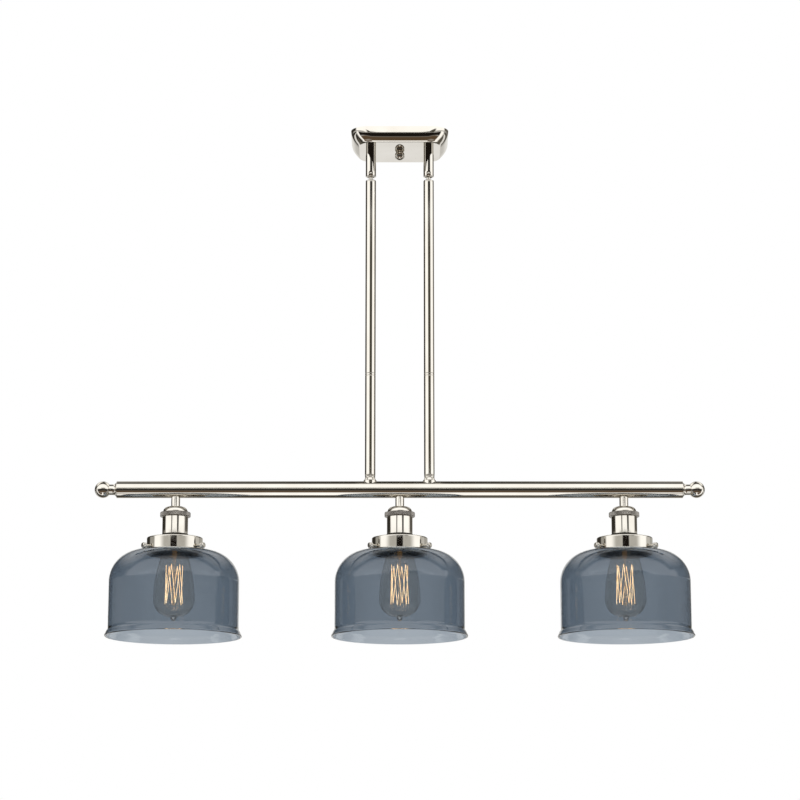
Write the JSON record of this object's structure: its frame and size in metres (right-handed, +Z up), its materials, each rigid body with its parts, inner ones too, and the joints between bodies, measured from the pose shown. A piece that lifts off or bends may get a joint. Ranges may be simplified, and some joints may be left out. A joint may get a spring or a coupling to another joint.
{
  "type": "linear island pendant",
  "caption": "Long bar pendant hung by jointed stems from a rounded rectangular canopy, with dome shades of smoke glass in polished nickel fitters.",
  "frame": {"origin": "on the ceiling plane, midway between the two slots for the ceiling box's screws", "axes": "+X along the bar to the viewer's right, +Y away from the viewer, +Z up through the ceiling"},
  "size_m": [0.9144, 0.2032, 0.7731],
  "materials": {
    "polished_nickel": "polished nickel, slightly warm",
    "knurled_nickel": "fine straight knurl in satin nickel",
    "zinc_steel": "zinc plated steel",
    "green_steel": "green plated ground screw",
    "smoke_glass": "plated smoke glass, glossy, half mirror",
    "bulb_clear_glass": "clear glass",
    "bulb_brass": "bright brass",
    "filament_metal": "warm filament wire",
    "holder_plastic": "black moulded phenolic"
  },
  "bodies": {
    "ceiling_mount": {"mounting_crossbar": "zinc_steel", "canopy_stud": "zinc_steel", "stud_lock_nut": "zinc_steel", "ground_screw": "green_steel", "canopy_shell": "polished_nickel", "swivel_housings": "polished_nickel", "swivel_nipples": "zinc_steel", "swivel_lock_nuts": "zinc_steel"},
    "canopy_nut": {"canopy_ball_nut": "polished_nickel"},
    "pendant": {"swivel_balls": "polished_nickel", "upper_stem_left": "polished_nickel", "upper_stem_right": "polished_nickel", "lower_stem_left": "polished_nickel", "lower_stem_right": "polished_nickel", "stem_couplers": "polished_nickel", "bar_hubs": "polished_nickel", "bar_tube": "polished_nickel", "finial_left": "polished_nickel", "finial_right": "polished_nickel", "drop_stems": "polished_nickel", "lampholders": "holder_plastic", "screw_shells": "bulb_brass", "center_contacts": "bulb_brass", "shade_lock_rings": "holder_plastic", "socket_cap_left": "polished_nickel", "socket_barrel_left": "polished_nickel", "shade_fitter_left": "polished_nickel", "glass_shade_left": "smoke_glass", "socket_cap_center": "polished_nickel", "socket_barrel_center": "polished_nickel", "shade_fitter_center": "polished_nickel", "glass_shade_center": "smoke_glass", "socket_cap_right": "polished_nickel", "socket_barrel_right": "polished_nickel", "shade_fitter_right": "polished_nickel", "glass_shade_right": "smoke_glass"},
    "ring_left": {"knurled_ring_left": "knurled_nickel"},
    "bulb_left": {"bulb_glass_left": "bulb_clear_glass", "bulb_base_left": "bulb_brass", "bulb_stem_left": "bulb_clear_glass", "bulb_filament_left": "filament_metal"},
    "thumb_left_back": {"thumb_screw_left_back": "polished_nickel"},
    "thumb_left_front_left": {"thumb_screw_left_front_left": "polished_nickel"},
    "thumb_left_front_right": {"thumb_screw_left_front_right": "polished_nickel"},
    "ring_center": {"knurled_ring_center": "knurled_nickel"},
    "bulb_center": {"bulb_glass_center": "bulb_clear_glass", "bulb_base_center": "bulb_brass", "bulb_stem_center": "bulb_clear_glass", "bulb_filament_center": "filament_metal"},
    "thumb_center_back": {"thumb_screw_center_back": "polished_nickel"},
    "thumb_center_front_left": {"thumb_screw_center_front_left": "polished_nickel"},
    "thumb_center_front_right": {"thumb_screw_center_front_right": "polished_nickel"},
    "ring_right": {"knurled_ring_right": "knurled_nickel"},
    "bulb_right": {"bulb_glass_right": "bulb_clear_glass", "bulb_base_right": "bulb_brass", "bulb_stem_right": "bulb_clear_glass", "bulb_filament_right": "filament_metal"},
    "thumb_right_back": {"thumb_screw_right_back": "polished_nickel"},
    "thumb_right_front_left": {"thumb_screw_right_front_left": "polished_nickel"},
    "thumb_right_front_right": {"thumb_screw_right_front_right": "polished_nickel"}
  },
  "joints": [
    {"name": "pendant_swing", "type": "hinge", "parent": "ceiling_mount", "child": "pendant", "pos_m": [0, 0, -0.0586], "axis": [1, 0, 0], "range_deg": [-80, 20]},
    {"name": "canopy_nut_turn", "type": "hinge", "parent": "ceiling_mount", "child": "canopy_nut", "pos_m": [0, 0, -0.03], "axis": [0, 0, -1], "continuous": true},
    {"name": "knurled_ring_turn_left", "type": "hinge", "parent": "pendant", "child": "ring_left", "pos_m": [-0.3355, 0, -0.5927], "axis": [0, 0, -1], "continuous": true},
    {"name": "bulb_turn_left", "type": "hinge", "parent": "pendant", "child": "bulb_left", "pos_m": [-0.3355, 0, -0.62], "axis": [0, 0, -1], "continuous": true},
    {"name": "thumb_screw_slide_left_back", "type": "slide", "parent": "pendant", "child": "thumb_left_back", "axis": [0, 1, 0], "range_m": [0, 0.0035]},
    {"name": "thumb_screw_slide_left_front_left", "type": "slide", "parent": "pendant", "child": "thumb_left_front_left", "axis": [-0.866, -0.5, 0], "range_m": [0, 0.0035]},
    {"name": "thumb_screw_slide_left_front_right", "type": "slide", "parent": "pendant", "child": "thumb_left_front_right", "axis": [0.866, -0.5, 0], "range_m": [0, 0.0035]},
    {"name": "knurled_ring_turn_center", "type": "hinge", "parent": "pendant", "child": "ring_center", "pos_m": [0, 0, -0.5927], "axis": [0, 0, -1], "continuous": true},
    {"name": "bulb_turn_center", "type": "hinge", "parent": "pendant", "child": "bulb_center", "pos_m": [0, 0, -0.62], "axis": [0, 0, -1], "continuous": true},
    {"name": "thumb_screw_slide_center_back", "type": "slide", "parent": "pendant", "child": "thumb_center_back", "axis": [0, 1, 0], "range_m": [0, 0.0035]},
    {"name": "thumb_screw_slide_center_front_left", "type": "slide", "parent": "pendant", "child": "thumb_center_front_left", "axis": [-0.866, -0.5, 0], "range_m": [0, 0.0035]},
    {"name": "thumb_screw_slide_center_front_right", "type": "slide", "parent": "pendant", "child": "thumb_center_front_right", "axis": [0.866, -0.5, 0], "range_m": [0, 0.0035]},
    {"name": "knurled_ring_turn_right", "type": "hinge", "parent": "pendant", "child": "ring_right", "pos_m": [0.3355, 0, -0.5927], "axis": [0, 0, -1], "continuous": true},
    {"name": "bulb_turn_right", "type": "hinge", "parent": "pendant", "child": "bulb_right", "pos_m": [0.3355, 0, -0.62], "axis": [0, 0, -1], "continuous": true},
    {"name": "thumb_screw_slide_right_back", "type": "slide", "parent": "pendant", "child": "thumb_right_back", "axis": [0, 1, 0], "range_m": [0, 0.0035]},
    {"name": "thumb_screw_slide_right_front_left", "type": "slide", "parent": "pendant", "child": "thumb_right_front_left", "axis": [-0.866, -0.5, 0], "range_m": [0, 0.0035]},
    {"name": "thumb_screw_slide_right_front_right", "type": "slide", "parent": "pendant", "child": "thumb_right_front_right", "axis": [0.866, -0.5, 0], "range_m": [0, 0.0035]}
  ]
}
